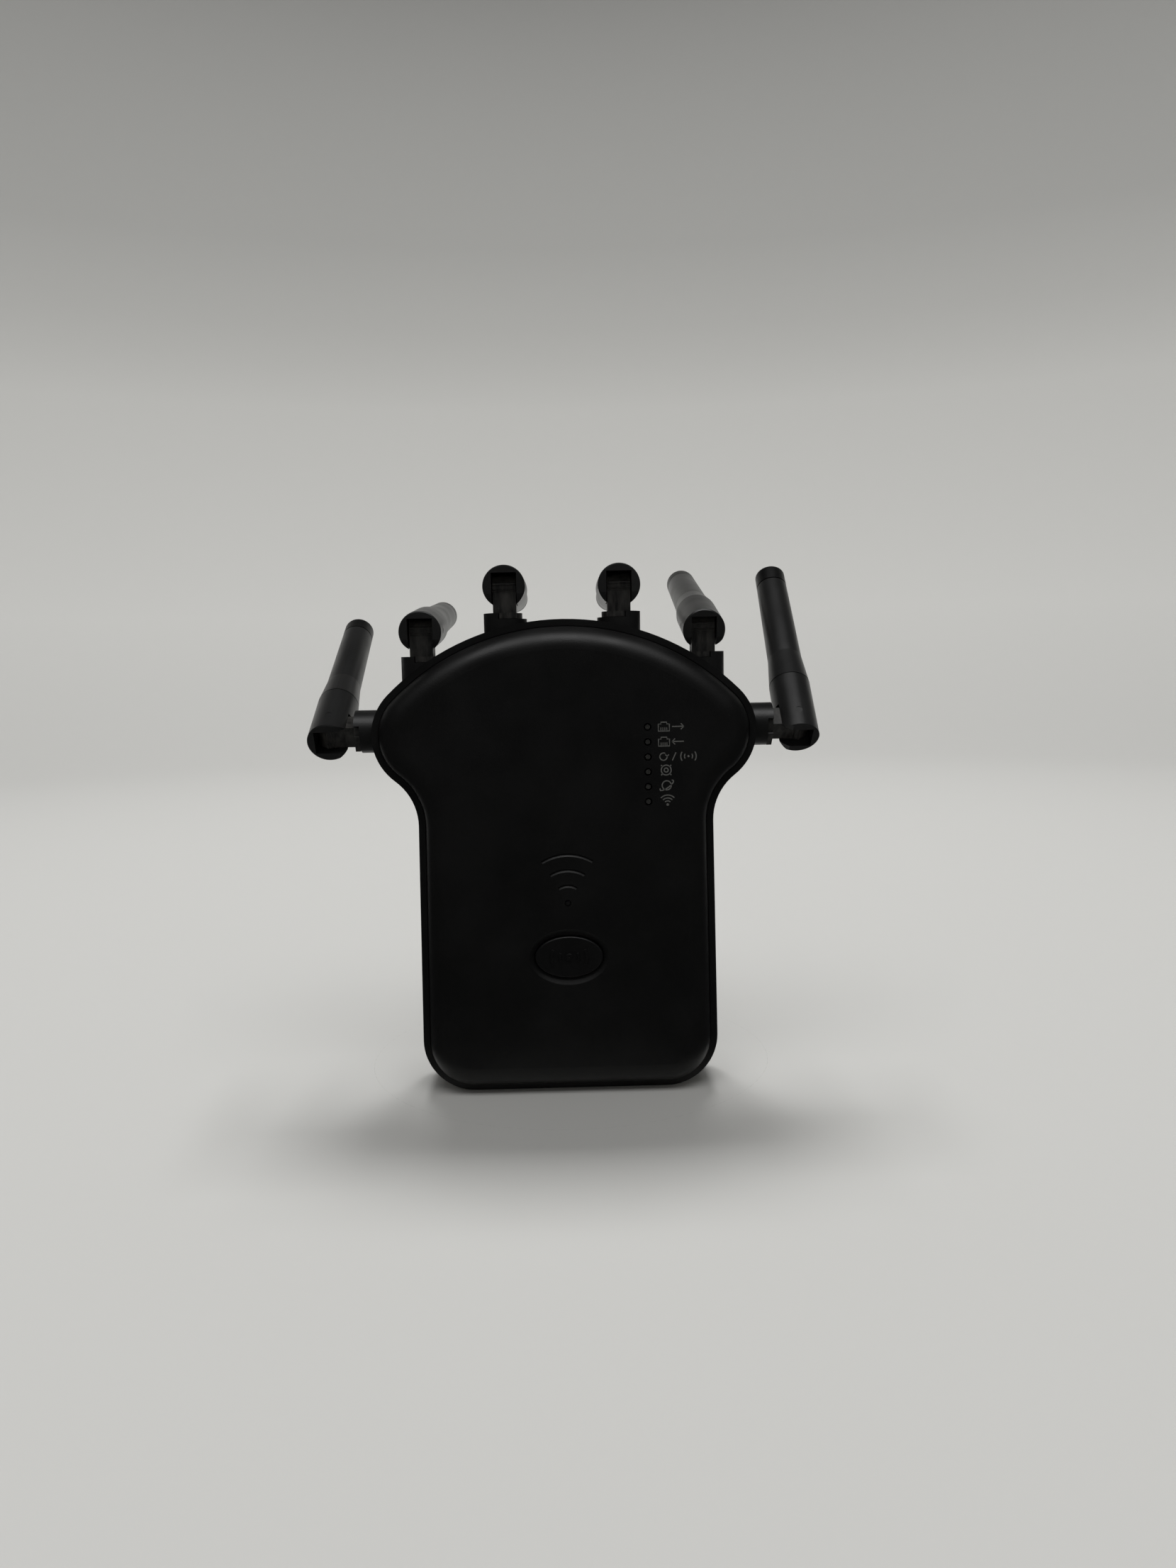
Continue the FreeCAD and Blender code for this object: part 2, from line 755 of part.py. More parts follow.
def make_housing_screws():
    """Four pan-head screws with a cross recess, driven from the back."""
    screws = []
    for x, z in screw_places():
        floor = "rear_depth - head_sink"
        head = rod("head_radius", "head_length", (x, floor, z), BACK)
        tip = "wall + post_solid + cover_gap - front_depth"
        shank = rod("screw_radius", f"{floor} - ({tip})", (x, tip, z), BACK)
        depth = f"{floor} + head_length - recess_depth"
        wide, slim = "recess_width", "recess_slot"
        across = box((wide, "past", slim), (f"{x} - {wide} / 2", depth, f"{z} - {slim} / 2"))
        upright = box((slim, "past", wide), (f"{x} - {slim} / 2", depth, f"{z} - {wide} / 2"))
        screws.append(cut(fused([head, shank]), fused([across, upright])))
    in_housing(group(screws), "housing_screws")


def make_rating_label():
    """A thin blank label on the back, under the plug block."""
    sizes = ("label_width", "label_thickness", "label_height")
    label = box(sizes, ("-label_width / 2", "rear_depth", "label_low"))
    in_housing(label, "rating_label")


# ---------------------------------------------------------------- lamps and button

def lamp_heights():
    """The six lamps' heights, from the top, as expressions."""
    return [f"lamp_top - {n} * lamp_pitch" for n in range(int(size("lamp_count")))]


def make_lamps():
    """Six surface-mount lamps on the board's front face."""
    lamps = []
    for z in lamp_heights():
        low = ("lamp_x - led_width / 2", "-led_height", f"{z} - led_height / 2")
        lamps.append(box(("led_width", "led_height", "led_height"), low))
    in_housing(group(lamps), "indicator_leds")


def make_light_guide():
    """A clear bar with a round light post for each lamp, ending just under the front face."""
    span = "lamp_pitch * (lamp_count - 1)"
    low = ("lamp_x - guide_width / 2", "-guide_ahead", f"lamp_top - {span} - guide_width / 2")
    parts = [box(("guide_width", "guide_depth", f"{span} + guide_width"), low)]
    for z in lamp_heights():
        low = ("lamp_x", "lens_recess - front_depth", z)
        parts.append(rod("lamp_lens", "front_depth - lens_recess - led_height - cover_gap", low, BACK))
    in_housing(fused(parts), "light_guide")


def make_button():
    """The oval button: cap, a lip that keeps it behind the cover, and a stem."""
    body = new_body("wps_button")
    steps = (
        ("front_depth + button_proud", "button_half_width", "button_half_height",
         "wall + button_proud + cover_gap"),
        ("front_depth - wall - cover_gap", "button_half_width + button_lip",
         "button_half_height + button_lip", "lip_length"),
    )
    for lift, half_width, half_height, length in steps:
        sketch = new_sketch(body, "XZ_Plane", "Oval", lift)
        ellipse(sketch, half_width, half_height, "button_height")
        extrude(body, "Pad", sketch, length, reverse=True)
    round_edges(body, "button_round", at_depth(-size("front_depth") - size("button_proud")))
    stem = "front_depth - wall - root - cover_gap - switch_depth - plunger_out"
    low = (0, "wall + root + cover_gap - front_depth", "button_height")
    round_bar(body, "Additive", "stem_radius", stem, low, BACK)
    doc.recompute()
    in_housing(body, "wps_button")


def make_switch():
    """The tact switch on the board and the plunger that the button's stem pushes."""
    low = ("-switch_size / 2", "-switch_depth", "button_height - switch_size / 2")
    case = box(("switch_size", "switch_depth", "switch_size"), low)
    low = (0, "-switch_depth", "button_height")
    well = rod("plunger_radius + socket_gap", "switch_depth - plunger_floor", low, BACK)
    in_housing(cut(case, well), "wps_switch")
    low = (0, "-switch_depth - plunger_out", "button_height")
    length = "plunger_out + switch_depth - plunger_floor - button_travel - cover_gap"
    plunger = rod("plunger_radius", length, low, BACK)
    in_housing(plunger, "wps_plunger")


# ---------------------------------------------------------------- boards

def make_boards():
    """The main board, the power board near the back, and their link."""
    sizes = ("board_width", "board_thickness", "board_high - board_low")
    in_housing(box(sizes, ("-board_width / 2", 0, "board_low")), "main_board")
    near_back = "rear_depth - wall - board_thickness - cover_gap"
    power = box(("power_width", "board_thickness", "power_high - power_low"),
                ("-power_width / 2", near_back, "power_low"))
    in_housing(power, "power_board")
    sizes = ("link_width", f"{near_back} - board_thickness", "link_height")
    in_housing(box(sizes, ("-link_width / 2", "board_thickness", "link_low")), "board_link")


def make_power_parts():
    """The transformer, with two core halves and a winding, and two upright capacitors."""
    front = "rear_depth - wall - board_thickness - cover_gap - core_depth"
    middle = f"{front} + core_depth / 2"
    core = []
    for z in ("core_low", "core_low + core_pitch"):
        core.append(box(("core_width", "core_depth", "core_height"), ("core_left", front, z)))
    low = ("core_left + core_width / 2", middle, "core_low + core_height / 2")
    winding = rod("coil_radius", "core_pitch", low)
    in_housing(fused(core + [winding]), "transformer")
    cans = [rod("can_radius", "can_height", (x, middle, "can_low")) for x in ("can_x", "can_x + can_pitch")]
    in_housing(group(cans), "capacitors")


def make_board_parts():
    """The radio's shield can on the back of the main board and the chips on its front."""
    sizes = ("shield_width", "shield_depth", "shield_height")
    shield = box(sizes, ("-shield_width / 2", "board_thickness", "shield_low"))
    in_housing(shield, "radio_shield")
    chips = [box((width, depth, height), (left, -depth, low)) for width, depth, height, left, low in CHIPS]
    in_housing(group(chips), "board_chips")


def make_jack(name, sign):
    """A network jack that opens downwards, with a notch for the plug's latch."""
    body = new_body(name)
    x = f"{sign} * jack_x"
    block(body, "Additive", ("jack_width", "jack_depth", "jack_height"),
          (f"{x} - jack_width / 2", "board_thickness + jack_gap", "jack_low"))
    block(body, "Subtractive", ("mouth_width", "mouth_depth", "mouth_height + past"),
          (f"{x} - mouth_width / 2", "board_thickness + jack_wall", "jack_low - past"))
    block(body, "Subtractive", ("latch_width", "latch_depth + root", "latch_height + past"),
          (f"{x} - latch_width / 2", "board_thickness + jack_wall + mouth_depth - root", "jack_low - past"))
    doc.recompute()
    in_housing(body, name)


def make_jack_contacts():
    """Eight spring contacts in each jack, on the side away from the latch."""
    contacts = []
    sizes = ("contact_width", "contact_depth", "contact_length")
    count = int(size("contact_count"))
    for sign in ("-1", "1"):
        for n in range(count):
            x = f"{sign} * jack_x + {n - (count - 1) / 2} * contact_pitch - contact_width / 2"
            low = (x, "board_thickness + jack_wall", "jack_low + mouth_height - contact_length")
            contacts.append(box(sizes, low))
    in_housing(group(contacts), "jack_contacts")


def make_antenna_leads():
    """A thin straight lead from the main board's edge to the foot of each swivel."""
    leads = []
    foot = size("socket_top") + size("socket_length") + size("snap_length") + size("lead_gap")
    pad, pad_depth = size("lead_pad"), size("lead_pad_depth")
    edge = size("board_width") / 2 - 2 * size("past")
    for _, turn, x_alias, z_alias, _ in ANTENNAS:
        sign = -1 if x_alias.startswith("-") else 1
        x = sign * size(x_alias.lstrip("-"))
        end = FreeCAD.Vector(x, size("swivel_y"), size(z_alias)) - turn.multVec(FreeCAD.Vector(0, 0, foot))
        high = size("board_high") - 2 * size("past") if turn == UP else size(z_alias) - 2 * pad
        start = FreeCAD.Vector(sign * min(abs(end.x), edge), size("board_thickness") + size("past"), high)
        run = end - start
        wire = Part.makeCylinder(size("lead_radius"), run.Length, start, run)
        corner = start - FreeCAD.Vector(pad / 2, size("past"), pad / 2)
        leads.append(wire.fuse(Part.makeBox(pad, pad_depth, pad, corner)).Solids[0])
    feature = doc.addObject("Part::Feature", "antenna_leads")
    feature.Shape = Part.makeCompound(leads)
    in_housing(feature, "antenna_leads")


# ---------------------------------------------------------------- antennas

def antenna_turn(turn, number, moving, folding, reverse):
    """The rest rotation of an antenna piece: socket, swivel or folding arm."""
    swing = size(f"swing_{number}") * (-1 if reverse else 1) if moving else 0
    fold = size(f"fold_{number}") if folding else 0
    about_socket = FreeCAD.Rotation(FreeCAD.Vector(0, 0, 1), swing)
    about_pin = FreeCAD.Rotation(FreeCAD.Vector(1, 0, 0), -fold)
    return turn * about_socket * about_pin


def make_socket(side):
    """The fixed socket, with the high stop wall round its outer side."""
    body = new_body("socket")
    sketch = new_sketch(body, "XZ_Plane", "Tube")
    bore = "shaft_radius + shaft_clearance"
    foot = "-socket_top - socket_length"
    polygon(sketch, ((bore, foot), ("socket_radius", foot), ("socket_radius", "-socket_top"),
                     (bore, "-socket_top")))
    turned(body, "Revolution", sketch, (origin_part(body, "Z_Axis"), [""]))
    wall = new_sketch(body, "XZ_Plane", "StopWall")
    near, far = ("stop_radius", "socket_radius") if side > 0 else ("-socket_radius", "-stop_radius")
    polygon(wall, ((near, "-socket_top - root"), (far, "-socket_top - root"), (far, "-flange_top"),
                   (near, "-flange_top")))
    turned(body, "Revolution", wall, (origin_part(body, "Z_Axis"), [""]), "stop_angle")
    return body


def make_swivel(side):
    """The part that turns in the socket: shaft, flange, stop lug and the hinge's tongue."""
    body = new_body("swivel")
    sketch = new_sketch(body, "XZ_Plane", "Shaft")
    foot = "-socket_top - socket_length"
    end = f"{foot} - snap_length"
    stop = f"{foot} - socket_gap"
    polygon(sketch, (
        ("lead_bore", end), ("shaft_radius - sleeve_bevel", end),
        ("shaft_radius + snap_lip", f"{foot} - snap_edge"), ("shaft_radius + snap_lip", stop),
        ("shaft_radius", stop), ("shaft_radius", "-flange_low"), ("flange_radius", "-flange_low"),
        ("flange_radius", "-flange_top"), ("lead_bore", "-flange_top")))
    turned(body, "Revolution", sketch, (origin_part(body, "Z_Axis"), [""]))
    block(body, "Additive", ("2 * tongue_half_width", "2 * tongue_half_depth", "flange_top + root"),
          ("-tongue_half_width", "-tongue_half_depth", "-flange_top - root"))
    across = ("-tongue_half_width", 0, 0)
    round_bar(body, "Additive", "tongue_head", "2 * tongue_half_width", across, RIGHT)
    cross_tongue(body, "Additive", "ridge_radius", "ridge_angle", "0")
    cross_tongue(body, "Subtractive", "notch_radius", "notch_angle", "past")
    low_x = "-lug_long" if side > 0 else "-lug_short"
    block(body, "Additive", ("lug_short + lug_long", "lug_reach - 2 * past", "flange_low - flange_top"),
          (low_x, "-lug_reach", "-flange_low"))
    round_bar(body, "Subtractive", "pin_radius + pin_clearance", "2 * (tongue_half_width + past)",
              ("-tongue_half_width - past", 0, 0), RIGHT)
    doc.recompute()
    return body


def cross_tongue(body, kind, radius, angle, extra):
    """A thin bar across the round head of the tongue, added as a ridge or removed as a notch."""
    low = (f"-tongue_half_width - {extra}", f"-cos({angle} * 1deg) * tongue_head",
           f"sin({angle} * 1deg) * tongue_head")
    round_bar(body, kind, radius, f"2 * (tongue_half_width + {extra})", low, RIGHT)


def make_sleeve():
    """The tubular housing of one antenna, with the hinge's fork at its foot."""
    body = new_body("sleeve")
    sketch = new_sketch(body, "XZ_Plane", "Profile")
    grip = "grip_length - sleeve_end"
    flare = "grip_length + flare_length - sleeve_end"
    polygon(sketch, (
        ("0", "-sleeve_end"), ("sleeve_radius - sleeve_bevel", "-sleeve_end"),
        ("sleeve_radius", "sleeve_bevel - sleeve_end"), ("sleeve_radius", f"{grip} - ring_width"),
        ("sleeve_radius - grip_ring_depth", f"{grip} - ring_width"),
        ("sleeve_radius - grip_ring_depth", grip), ("sleeve_radius - pin_clearance", grip),
        ("slim_radius", flare), ("tip_radius", "sleeve_top"), ("0", "sleeve_top")))
    turned(body, "Revolution", sketch, (origin_part(body, "Z_Axis"), [""]))
    round_bar(body, "Subtractive", "bore_radius", "sleeve_top", (0, 0, "slot_floor + bore_floor"))
    sizes = ("2 * slot_half_width", "slot_back + sleeve_radius + past", "sleeve_end + slot_floor + past")
    block(body, "Subtractive", sizes, ("-slot_half_width", "-slot_back", "-sleeve_end - past"))
    round_bar(body, "Subtractive", "pin_radius", "4 * sleeve_radius", ("-2 * sleeve_radius", 0, 0), RIGHT)
    corner = new_sketch(body, "YZ_Plane", "KnuckleCorner")
    knuckle_corner(corner)
    pocket = body.newObject("PartDesign::Pocket", "KnuckleRound")
    pocket.Profile = corner
    pocket.Midplane = True
    bind(pocket, {"Length": "4 * sleeve_radius"})
    doc.recompute()
    return body


def knuckle_corner(sketch):
    """What is cut off the fork's ends so that they are round about the pin."""
    radius = size("knuckle_radius")
    away = 2 * size("sleeve_radius")
    circle = Part.Circle(FreeCAD.Vector(), FreeCAD.Vector(0, 0, 1), radius)
    arc = Part.ArcOfCircle(circle, -math.pi / 2, 0)
    low, right = FreeCAD.Vector(0, -radius, 0), FreeCAD.Vector(radius, 0, 0)
    corners = (right, FreeCAD.Vector(away, 0, 0), FreeCAD.Vector(away, -away, 0),
               FreeCAD.Vector(0, -away, 0), low)
    sketch.addGeometry([arc] + [Part.LineSegment(a, b) for a, b in zip(corners, corners[1:])], False)
    for rule in ((0, 2, 1, 1), (1, 2, 2, 1), (2, 2, 3, 1), (3, 2, 4, 1), (4, 2, 0, 1), (0, 3, -1, 1)):
        sketch.addConstraint(Sketcher.Constraint("Coincident", *rule))
    for kind, line in (("Horizontal", 1), ("Vertical", 2), ("Horizontal", 3), ("Vertical", 4)):
        sketch.addConstraint(Sketcher.Constraint(kind, line))
    sketch.addConstraint(Sketcher.Constraint("PointOnObject", 1, 1, -1))
    sketch.addConstraint(Sketcher.Constraint("PointOnObject", 4, 2, -2))
    number = sketch.addConstraint(Sketcher.Constraint("Radius", 0, radius))
    sketch.setExpression(f"Constraints[{number}]", bound("knuckle_radius"))


def make_tip_cap():
    """The cap at an antenna's tip: a spigot in the bore, a groove and a rounded end."""
    body = new_body("tip_cap")
    sketch = new_sketch(body, "XZ_Plane", "Profile")
    end = "sleeve_top + cap_length"
    foot = "sleeve_top - spigot_length"
    spigot = "bore_radius - pin_clearance"
    groove = "tip_radius - cap_ring_depth"
    shoulder = "sleeve_top + ring_width"
    polygon(sketch, (
        ("0", foot), (spigot, foot), (spigot, "sleeve_top"), (groove, "sleeve_top"), (groove, shoulder),
        ("tip_radius", shoulder), ("tip_radius - pin_clearance", end), ("0", end)))
    turned(body, "Revolution", sketch, (origin_part(body, "Z_Axis"), [""]))
    round_edges(body, "cap_round", at_cap_end)
    return body


def at_cap_end(edge):
    """Whether an edge is the circle at a tip cap's end."""
    height = size("sleeve_top") + size("cap_length")
    return edge.Closed and all(abs(v.Z - height) < 1e-4 for v in edge.Vertexes)


def make_element():
    """The radiator inside an antenna: a foot in the bore, a wire and a tube round it."""
    body = new_body("element")
    sketch = new_sketch(body, "XZ_Plane", "Profile")
    foot = "slot_floor + bore_floor"
    plug = "bore_radius - pin_clearance"
    polygon(sketch, (
        ("0", foot), (plug, foot), (plug, f"{foot} + element_foot"),
        ("wire_radius", f"{foot} + element_foot"),
        ("wire_radius", "tube_start"), ("tube_radius", "tube_start"), ("tube_radius", "tube_end"),
        ("wire_radius", "tube_end"), ("wire_radius", "wire_end"), ("0", "wire_end")))
    turned(body, "Revolution", sketch, (origin_part(body, "Z_Axis"), [""]))
    return body


def make_hinge_pin():
    """The pin that holds the fork to the tongue."""
    return group([rod("pin_radius", "2 * pin_half_length", ("-pin_half_length", 0, 0), RIGHT)])


def make_antenna(number, name, turn, x, z, side):
    """All the pieces of one antenna, each with its own place."""
    reverse = turn == LEFT
    pivot = (x, "swivel_y - outlet_depth", f"{z} - plug_height")
    fixed = antenna_turn(turn, number, False, False, reverse)
    swung = antenna_turn(turn, number, True, False, reverse)
    folded = antenna_turn(turn, number, True, True, reverse)
    pieces = (
        ("socket", make_socket(side), fixed),
        ("swivel", make_swivel(side), swung),
        ("sleeve", make_sleeve(), folded),
        ("tip_cap", make_tip_cap(), folded),
        ("element", make_element(), folded),
        ("hinge_pin", make_hinge_pin(), folded),
    )
    for piece, body, rotation in pieces:
        place(body, pivot, rotation)
        keep(body, f"{name}_{piece}")


# ---------------------------------------------------------------- whole model

def check_document():
    """Stops if an object failed or a sub-part's shape can't be used."""
    for item in doc.Objects:
        if {"Invalid", "Error"} & set(item.State):
            raise RuntimeError(f"{item.Name} ({item.Label}) failed: {item.State}")
    for item in nodes:
        if item.Shape.isNull() or not item.Shape.isValid() or not item.Shape.Solids:
            raise RuntimeError(f"{item.Label} has no valid solid")


def write_parts():
    """Writes each sub-part to a STEP file of its own."""
    os.makedirs("parts", exist_ok=True)
    for item in nodes:
        item.Shape.exportStep(os.path.join("parts", item.Label + ".step"))


fill_sheet()
make_front_cover()
make_rear_cover()
make_plug_block()
make_plug_blades()
make_housing_screws()
make_rating_label()
make_lamps()
make_light_guide()
make_button()
make_switch()
make_boards()
make_power_parts()
make_board_parts()
make_jack("lan_jack", "-1")
make_jack("wan_jack", "1")
make_jack_contacts()
make_antenna_leads()
for number, antenna in enumerate(ANTENNAS, start=1):
    make_antenna(number, *antenna)
doc.recompute()
check_document()
write_parts()
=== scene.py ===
import json
import math

import bmesh
import bpy
from mathutils import Euler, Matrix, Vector


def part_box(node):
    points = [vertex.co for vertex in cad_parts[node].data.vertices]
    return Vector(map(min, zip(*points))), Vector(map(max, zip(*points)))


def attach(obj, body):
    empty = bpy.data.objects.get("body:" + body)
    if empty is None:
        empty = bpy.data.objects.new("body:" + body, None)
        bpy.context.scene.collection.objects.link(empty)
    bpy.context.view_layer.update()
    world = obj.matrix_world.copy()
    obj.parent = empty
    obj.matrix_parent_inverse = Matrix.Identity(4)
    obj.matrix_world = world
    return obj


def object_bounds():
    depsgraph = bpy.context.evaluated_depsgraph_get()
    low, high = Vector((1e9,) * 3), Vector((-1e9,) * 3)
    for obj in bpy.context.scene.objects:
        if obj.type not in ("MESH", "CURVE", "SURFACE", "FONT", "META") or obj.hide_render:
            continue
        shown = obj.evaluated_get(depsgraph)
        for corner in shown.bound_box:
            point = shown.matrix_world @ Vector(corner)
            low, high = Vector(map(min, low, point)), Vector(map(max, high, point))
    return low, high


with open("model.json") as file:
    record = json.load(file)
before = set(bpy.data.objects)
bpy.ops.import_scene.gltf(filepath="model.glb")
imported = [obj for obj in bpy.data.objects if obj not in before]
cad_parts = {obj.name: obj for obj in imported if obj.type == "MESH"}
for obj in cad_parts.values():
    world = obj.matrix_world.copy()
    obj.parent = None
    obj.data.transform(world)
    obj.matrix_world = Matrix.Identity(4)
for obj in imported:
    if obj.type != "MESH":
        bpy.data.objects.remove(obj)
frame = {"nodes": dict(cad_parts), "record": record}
cad_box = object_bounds()

# A wifi range extender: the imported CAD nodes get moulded-plastic, metal and board materials,
# and printed marks and a raised button symbol are added. Metres, in the row frame:
# +X right, +Y into the wall, +Z up.

MM = 0.001

nodes = frame["nodes"]
face_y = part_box("front_cover")[0].y
button_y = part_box("wps_button")[0].y
floor_z = cad_box[0][2]

# the stage: near floor, level floor, bend into the wall, its height, the height that its painted
# shade runs over, and how much of its circle counts as behind the object
NEAR_FLOOR = 0.06
FLOOR_RADIUS = 1.1
BEND = 0.7
WALL_TOP = 2.6
PAINTED_SHADE_HEIGHT = 1.4
BEHIND = math.radians(110)

# the camera: its place, its turn about X, Y and Z in degrees, and its lens on a 36 mm sensor
CAMERA_PLACE = (0.0003, -0.3540, 0.0687)
CAMERA_TURN = (84.01, 1.10, -1.16)
SENSOR = 36.0
LENS = 27.05

# the lamps behind the front: how many, and how tall each is
LAMP_COUNT = 6
LAMP_HEIGHT = 0.8 * MM


# ---------------------------------------------------------------- camera, lights and stage

def make_camera():
    """The photograph's viewpoint: close, a little above the middle, with a wide lens."""
    data = bpy.data.cameras.new("camera")
    data.sensor_width = SENSOR
    data.lens = LENS
    data.clip_start = 0.01
    camera = bpy.data.objects.new("camera", data)
    camera.location = Vector(CAMERA_PLACE)
    camera.rotation_euler = Euler([math.radians(turn) for turn in CAMERA_TURN], "XYZ")
    bpy.context.scene.collection.objects.link(camera)
    bpy.context.scene.camera = camera


def make_light(name, size, power, place, aim, glossy=True):
    """A rectangular soft light that points at a place; glossy says whether it shows in gloss."""
    data = bpy.data.lights.new(name, "AREA")
    data.shape = "RECTANGLE"
    data.size, data.size_y = size
    data.energy = power
    light = bpy.data.objects.new(name, data)
    light.location = Vector(place)
    light.rotation_euler = (Vector(aim) - light.location).to_track_quat("-Z", "Y").to_euler()
    light.visible_camera = False
    light.visible_glossy = glossy
    bpy.context.scene.collection.objects.link(light)


def sweep_profile():
    """Radius and height of the stage's points from its middle: floor, bend, then wall."""
    steps = 20
    profile = [(0.0, 0.0), (NEAR_FLOOR, 0.0)]
    for n in range(steps + 1):
        turn = math.pi / 2 * n / steps
        profile.append((FLOOR_RADIUS + BEND * math.sin(turn), BEND * (1 - math.cos(turn))))
    profile.append((FLOOR_RADIUS + BEND, WALL_TOP))
    return profile


def make_stage_piece(name, profile, start, angle, material, glossy):
    """A slice of the round pale stage, turned about the upright axis."""
    steps = 96
    mesh = bmesh.new()
    rings = []
    for radius, height in profile:
        ring = []
        for n in range(steps + 1):
            turn = start + angle * n / steps
            place = (radius * math.cos(turn), radius * math.sin(turn), floor_z + height)
            ring.append(mesh.verts.new(place))
        rings.append(ring)
    for low, high in zip(rings, rings[1:]):
        for n in range(steps):
            mesh.faces.new((low[n], low[n + 1], high[n + 1], high[n]))
    bmesh.ops.remove_doubles(mesh, verts=mesh.verts, dist=1e-6)
    data = bpy.data.meshes.new(name)
    mesh.to_mesh(data)
    mesh.free()
    for polygon in data.polygons:
        polygon.use_smooth = True
    data.materials.append(material)
    piece = bpy.data.objects.new(name, data)
    piece.visible_glossy = glossy
    bpy.context.scene.collection.objects.link(piece)


def make_stage():
    """A level floor that curves up into a wall all round. Only the near floor and the part
    behind the object show in its gloss, as if the rest of the room were dark."""
    material = paper()
    profile = sweep_profile()
    whole = 2 * math.pi
    make_stage_piece("floor_near", profile[:2], 0.0, whole, material, True)
    from_right = (math.pi - BEHIND) / 2
    from_left = (math.pi + BEHIND) / 2
    make_stage_piece("floor_behind", profile[1:], from_right, BEHIND, material, True)
    make_stage_piece("floor_around", profile[1:], from_left, whole - BEHIND, material, False)


def make_world():
    """A dim, slightly cool surround, and plain display colours."""
    world = bpy.data.worlds.new("world")
    world.use_nodes = True
    background = world.node_tree.nodes["Background"]
    background.inputs["Color"].default_value = (0.95, 0.97, 1.0, 1.0)
    background.inputs["Strength"].default_value = 0.03
    bpy.context.scene.world = world
    bpy.context.scene.view_settings.view_transform = "Standard"


# ---------------------------------------------------------------- materials

def new_material(name, color, roughness, metallic=0.0, specular=0.5):
    """A material with one Principled shader, whose even values sit on its own sockets."""
    material = bpy.data.materials.new(name)
    material.use_nodes = True
    shader = material.node_tree.nodes["Principled BSDF"]
    shader.inputs["Base Color"].default_value = (*color, 1.0)
    shader.inputs["Roughness"].default_value = roughness
    shader.inputs["Metallic"].default_value = metallic
    shader.inputs["Specular IOR Level"].default_value = specular
    return material, shader


def add_node(material, kind, **values):
    """Adds a node and sets its inputs by name, with _ standing for a space."""
    node = material.node_tree.nodes.new(kind)
    for key, value in values.items():
        node.inputs[key.replace("_", " ")].default_value = value
    return node


def object_place(material):
    """The object's own coordinates, in metres."""
    return material.node_tree.nodes.new("ShaderNodeTexCoord").outputs["Object"]


def noise(material, scale, detail=3.0, roughness=0.5):
    """Noise in the object's own space, scale in features per metre."""
    node = add_node(material, "ShaderNodeTexNoise", Scale=scale, Detail=detail, Roughness=roughness)
    material.node_tree.links.new(object_place(material), node.inputs["Vector"])
    return node.outputs["Fac"]


def bump(material, shader, height, strength, distance):
    """Bumps the surface by a height, after any bump that is there already."""
    links = material.node_tree.links
    node = add_node(material, "ShaderNodeBump", Strength=strength, Distance=distance)
    links.new(height, node.inputs["Height"])
    if shader.inputs["Normal"].is_linked:
        links.new(shader.inputs["Normal"].links[0].from_socket, node.inputs["Normal"])
    links.new(node.outputs["Normal"], shader.inputs["Normal"])


def vary(material, shader, socket, factor, low, high):
    """Lets a number on the shader run between two values with a factor."""
    node = add_node(material, "ShaderNodeMapRange")
    node.inputs["From Min"].default_value = 0.3
    node.inputs["From Max"].default_value = 0.7
    node.inputs["To Min"].default_value = low
    node.inputs["To Max"].default_value = high
    material.node_tree.links.new(factor, node.inputs["Value"])
    material.node_tree.links.new(node.outputs["Result"], shader.inputs[socket])


def tint(material, shader, factor, first, second):
    """Lets the base colour run between two colours with a factor."""
    ramp = material.node_tree.nodes.new("ShaderNodeValToRGB")
    ramp.color_ramp.elements[0].position = 0.35
    ramp.color_ramp.elements[1].position = 0.65
    ramp.color_ramp.elements[0].color = (*first, 1.0)
    ramp.color_ramp.elements[1].color = (*second, 1.0)
    material.node_tree.links.new(factor, ramp.inputs["Fac"])
    material.node_tree.links.new(ramp.outputs["Color"], shader.inputs["Base Color"])


def moulded(name, dark, light, roughness, grain, depth, specular=0.5):
    """Moulded plastic: spark-eroded grain, faint flow clouds and finger-worn gloss."""
    material, shader = new_material(name, dark, roughness, specular=specular)
    clouds = noise(material, 45.0, 4.0)
    tint(material, shader, clouds, dark, light)
    vary(material, shader, "Roughness", noise(material, 90.0, 5.0), roughness - 0.05, roughness + 0.06)
    bump(material, shader, noise(material, grain, 2.0, 0.6), 0.5, depth)
    return material


def paper():
    """The pale seamless paper of the stage; its colour holds painted shade, lightest low on the wall
    and darker towards its top.
    """
    material, shader = new_material("stage_paper", (0.78, 0.775, 0.75), 0.9, specular=0.0)
    split = material.node_tree.nodes.new("ShaderNodeSeparateXYZ")
    rise = add_node(material, "ShaderNodeMapRange")
    ramp = material.node_tree.nodes.new("ShaderNodeValToRGB")
    rise.inputs["From Min"].default_value = floor_z
    rise.inputs["From Max"].default_value = floor_z + PAINTED_SHADE_HEIGHT
    # painted shade: the paper's colour is lightest low on the wall and darkens towards its top
    painted_shades = ((0.0, 0.50), (0.14, 0.57), (0.40, 0.55), (0.60, 0.395), (1.0, 0.28))
    colors = [(position, (shade, shade * 0.995, shade * 0.965)) for position, shade in painted_shades]
    for position, color in colors[2:]:
        ramp.color_ramp.elements.new(position)
    for element, (position, color) in zip(ramp.color_ramp.elements, colors):
        element.position = position
        element.color = (*color, 1.0)
    links = material.node_tree.links
    links.new(object_place(material), split.inputs["Vector"])
    links.new(split.outputs["Z"], rise.inputs["Value"])
    links.new(rise.outputs["Result"], ramp.inputs["Fac"])
    links.new(ramp.outputs["Color"], shader.inputs["Base Color"])
    return material


